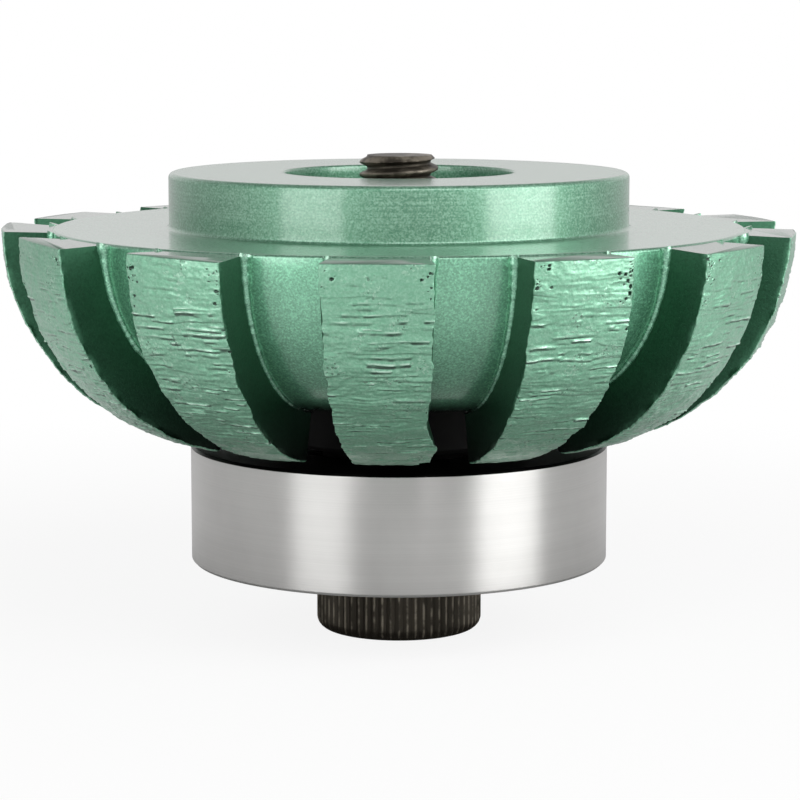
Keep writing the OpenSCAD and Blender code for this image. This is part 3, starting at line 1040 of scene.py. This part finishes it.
class PROFILE_WHEEL_OT_stage(bpy.types.Operator):
    """Set up the floor, the soft light, the world and the camera"""

    bl_idname = "profile_wheel.stage"
    bl_label = "Stage"

    def execute(self, context):
        settings = context.scene.wheel_stage
        context.scene.view_settings.view_transform = "Standard"
        self.camera(context, settings)
        for name, radiance, azimuth, elevation, distance, size in (
            ("left_softbox", settings.left_lamp, -41, 18, 0.15, (0.084, 0.125)),
            ("right_softbox", settings.right_lamp, 59.5, 18, 0.15, (0.102, 0.125)),
            ("front_softbox", settings.front_lamp, 16, 46, 0.5, (0.32, 0.2)),
        ):
            self.softbox(context, name, radiance, azimuth, elevation, distance, size)
        self.world(context, settings)
        self.floor(context, settings)
        return {"FINISHED"}

    def camera(self, context, settings):
        """A camera in front of the wheel that looks down a little."""
        lens = bpy.data.cameras.new("camera")
        lens.lens = settings.camera_lens
        lens.sensor_width = SENSOR_WIDTH
        lens.clip_start = 0.01
        holder = bpy.data.objects.new("camera", lens)
        holder.location = (settings.camera_side, -settings.camera_back, settings.camera_height)
        holder.rotation_euler = (math.pi / 2 - settings.camera_tilt, 0, 0)
        context.scene.collection.objects.link(holder)
        context.scene.camera = holder

    def softbox(self, context, name, radiance, azimuth, elevation, distance, size):
        """A rectangular lamp turned to the wheel, placed by two angles in degrees and a distance.

        Its power is radiance * pi * area.
        """
        lamp = bpy.data.lights.new(name, "AREA")
        lamp.shape = "RECTANGLE"
        lamp.size, lamp.size_y = size
        lamp.energy = radiance * math.pi * size[0] * size[1]
        side, up = math.radians(azimuth), math.radians(elevation)
        towards = Vector((math.sin(side) * math.cos(up), -math.cos(side) * math.cos(up), math.sin(up)))
        holder = bpy.data.objects.new(name, lamp)
        holder.location = Vector((0, 0, BODY_LOW.z)) + towards * distance
        holder.rotation_euler = towards.to_track_quat("Z", "Y").to_euler()
        context.scene.collection.objects.link(holder)

    def world(self, context, settings):
        """Grey that brightens from the camera's side to the back and darkens overhead.

        The floor and its wall hide it from the camera.
        """
        world = bpy.data.worlds.new("studio")
        world.use_nodes = True
        world.node_tree.nodes.clear()
        context.scene.world = world
        start = Socket(world.node_tree)
        along = start.node("ShaderNodeTexCoord", None, None, "Generated")
        back, up = start.node("ShaderNodeSeparateXYZ", None, {"Vector": along}).outputs("Y", "Z")
        level = settings.sky_front + back.between(0.3, 0.95) * (settings.sky_back - settings.sky_front)
        grey = level * (1 - 0.5 * up.between(0.3, 0.8))
        light = start.node("ShaderNodeBackground", None, {"Color": SKY_TINT, "Strength": grey})
        start.node("ShaderNodeOutputWorld", None, {"Surface": light})

    def floor(self, context, settings):
        """A wide round floor just under the screw's head, with a low wall round it.

        Camera rays, and those that metal and glass send on, see it white, less the wheel's shadow. Near the
        wheel a part of the white gives way to that shadow, and metal sees the floor darker behind the wheel.
        """
        count = 96
        turn = np.arange(count) * TURN / count
        mesh = bpy.data.meshes.new("floor")
        rims = [round_axis(FLOOR_RADIUS, turn, height) for height in (FLOOR_LEVEL, WALL_HEIGHT)]
        wall = grid_faces(2, count, False, True)[:, ::-1]
        mesh.from_pydata(np.concatenate(rims).tolist(), [], [list(range(count)), *wall.tolist()])
        mesh.update()
        material, start = new_material("pale_floor")
        place = object_place(start)
        rays = start.node("ShaderNodeLightPath")
        seen, glossy, through = rays.outputs("Is Camera Ray", "Is Glossy Ray", "Is Transmission Ray")
        base = seen.blend(settings.floor_shade, settings.floor_colour)
        diffuse = start.node("ShaderNodeBsdfDiffuse", None, {"Color": base})
        white = start.node("ShaderNodeEmission", None, {"Color": WHITE, "Strength": 1.0})
        reach = start.node("ShaderNodeVectorMath", {"operation": "LENGTH"}, {0: place}, "Value")
        mirrored = start.math("MAXIMUM", glossy, through)
        behind = start.node("ShaderNodeSeparateXYZ", None, {"Vector": place}, "Y").between(-0.03, 0.07)
        mirrored = mirrored * reach.between(0.02, 0.06) * (0.81 - behind * 0.3)
        share = seen * (0.88 + reach.between(0.04, 0.12) * 0.12) + mirrored
        both = start.node("ShaderNodeMixShader", None, {0: share, 1: diffuse, 2: white})
        start.node("ShaderNodeOutputMaterial", None, {"Surface": both})
        mesh.materials.append(material)
        floor = bpy.data.objects.new("floor", mesh)
        context.scene.collection.objects.link(floor)


class PROFILE_WHEEL_OT_body(bpy.types.Operator):
    """Turn the painted wheel body"""

    bl_idname = "profile_wheel.body"
    bl_label = "Wheel body"

    def execute(self, context):
        sizes = context.scene.wheel_sizes
        section = wheel_section(sizes)
        shell = turned(refined(wheel_outline(sizes, section), step=0.45 * MM), columns=300)
        colours = context.scene.wheel_finish
        paint = metal_paint("green_paint", colours, colours.paint_flake, section.top)
        mesh_piece("painted_wheel_body", shell, [paint], "wheel", ["wheel_body"])
        return {"FINISHED"}


class PROFILE_WHEEL_OT_segments(bpy.types.Operator):
    """Lay the diamond segments round the rim, and the braze along their sides"""

    bl_idname = "profile_wheel.segments"
    bl_label = "Diamond segments"

    def execute(self, context):
        sizes = context.scene.wheel_sizes
        colours = context.scene.wheel_finish
        section = wheel_section(sizes)
        materials = [segment_paint(colours), segment_top(colours)]
        for index, node in enumerate(SEGMENTS):
            shell, values = segment_shell(sizes, section, index)
            name = node.replace("segment", "diamond_segment")
            mesh_piece(
                name, shell, materials, "wheel", [node], values, slots=[0, 1, 1], sharp=50
            )
        beads = joined([
            braze_shell(sizes, section, index, side) for index in range(len(SEGMENTS)) for side in (-1, 1)
        ])
        # The beads' paint is lightened with the braze colour, partly a painted highlight along the fillets
        paint = metal_paint("braze_paint", colours, colours.braze, section.top)
        mesh_piece("braze_beads", beads, [paint], "wheel", ["braze_fillets"])
        return {"FINISHED"}


class PROFILE_WHEEL_OT_ring(bpy.types.Operator):
    """Turn the guide ring"""

    bl_idname = "profile_wheel.ring"
    bl_label = "Guide ring"

    def execute(self, context):
        shell = turned(refined(ring_outline(context.scene.ring_sizes), step=0.5 * MM), columns=360)
        colours = context.scene.wheel_finish
        steel = turned_metal(
            "ring_steel",
            colours.ring_steel,
            roughness=0.36,
            line=0.09 * MM,
            depth=0.006 * MM,
            stretch=0.9,
            # The ring's top is painted black: painted shade under the wheel
            black=RING_HIGH.z - RING_SHADE_HEIGHT,
            painted_shade=colours.painted_shade,
        )
        mesh_piece("bright_guide_ring", shell, [steel], "pilot", ["guide_ring"])
        return {"FINISHED"}


class PROFILE_WHEEL_OT_screw(bpy.types.Operator):
    """Make the shoulder screw with its knurled head and its thread"""

    bl_idname = "profile_wheel.screw"
    bl_label = "Shoulder screw"

    def execute(self, context):
        sizes = context.scene.screw_sizes
        shells, ridges = zip(head_shell(sizes), shaft_shell(sizes))
        oxide = black_oxide(context.scene.wheel_finish)
        values = {"ridge": np.concatenate([ridge.ravel() for ridge in ridges])}
        shell = joined(shells)
        mesh_piece("knurled_screw", shell, [oxide], "screw", ["shoulder_screw"], values)
        return {"FINISHED"}


class PROFILE_WHEEL_OT_bearing(bpy.types.Operator):
    """Finish the ball bearing and the spacer, which keep their solids"""

    bl_idname = "profile_wheel.bearing"
    bl_label = "Bearing and spacer"

    def execute(self, context):
        colours = context.scene.wheel_finish
        steel = colours.bearing_steel
        ground = turned_metal("bearing_steel", steel, roughness=0.18, line=0.04 * MM, depth=0.002 * MM)
        # The spacer is black-oxide steel painted near-black with the shade colour: partly its own colour,
        # partly painted shade under the wheel
        black = moulded("spacer_shade_black", colours.painted_shade, cell=0.1 * MM, roughness=0.7)
        rubber = moulded("seal_rubber", colours.rubber, cell=0.08 * MM, roughness=0.55)
        cage = moulded("cage_plastic", colours.cage, cell=0.1 * MM, roughness=0.45)
        for material, nodes in (
            (ground, ["bearing_outer_ring", "bearing_inner_ring", *BALLS]),
            (black, ["spacer"]),
            (rubber, ["seal_upper", "seal_lower"]),
            (cage, ["bearing_cage"]),
        ):
            for node in nodes:
                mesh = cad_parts[node].data
                mesh.materials.clear()
                mesh.materials.append(material)
        return {"FINISHED"}


class PROFILE_WHEEL_PT_panel(bpy.types.Panel):
    """Lists the steps and sizes of the profile wheel"""

    bl_idname = "PROFILE_WHEEL_PT_panel"
    bl_label = "Profile wheel"
    bl_space_type = "VIEW_3D"
    bl_region_type = "UI"
    bl_category = "Profile wheel"

    def draw(self, context):
        for operator in OPERATORS:
            self.layout.operator(operator.bl_idname)
        for group, kind in SETTINGS.items():
            box = self.layout.box()
            box.label(text=kind.__doc__)
            for key in kind.__annotations__:
                box.prop(getattr(context.scene, group), key)


OPERATORS = (
    PROFILE_WHEEL_OT_stage,
    PROFILE_WHEEL_OT_body,
    PROFILE_WHEEL_OT_segments,
    PROFILE_WHEEL_OT_ring,
    PROFILE_WHEEL_OT_screw,
    PROFILE_WHEEL_OT_bearing,
)
CLASSES = (*SETTINGS.values(), *OPERATORS, PROFILE_WHEEL_PT_panel)


def register():
    """Registers the classes, and hangs the settings on the scene."""
    for kind in CLASSES:
        bpy.utils.register_class(kind)
    for key, kind in SETTINGS.items():
        setattr(bpy.types.Scene, key, PointerProperty(type=kind))


def unregister():
    """Takes the settings off the scene, and unregisters the classes."""
    for key in SETTINGS:
        delattr(bpy.types.Scene, key)
    for kind in reversed(CLASSES):
        bpy.utils.unregister_class(kind)


def main():
    """Builds the wheel and its stage."""
    register()
    bpy.ops.profile_wheel.stage()
    bpy.ops.profile_wheel.body()
    bpy.ops.profile_wheel.segments()
    bpy.ops.profile_wheel.ring()
    bpy.ops.profile_wheel.screw()
    bpy.ops.profile_wheel.bearing()


if __name__ == "__main__":
    main()
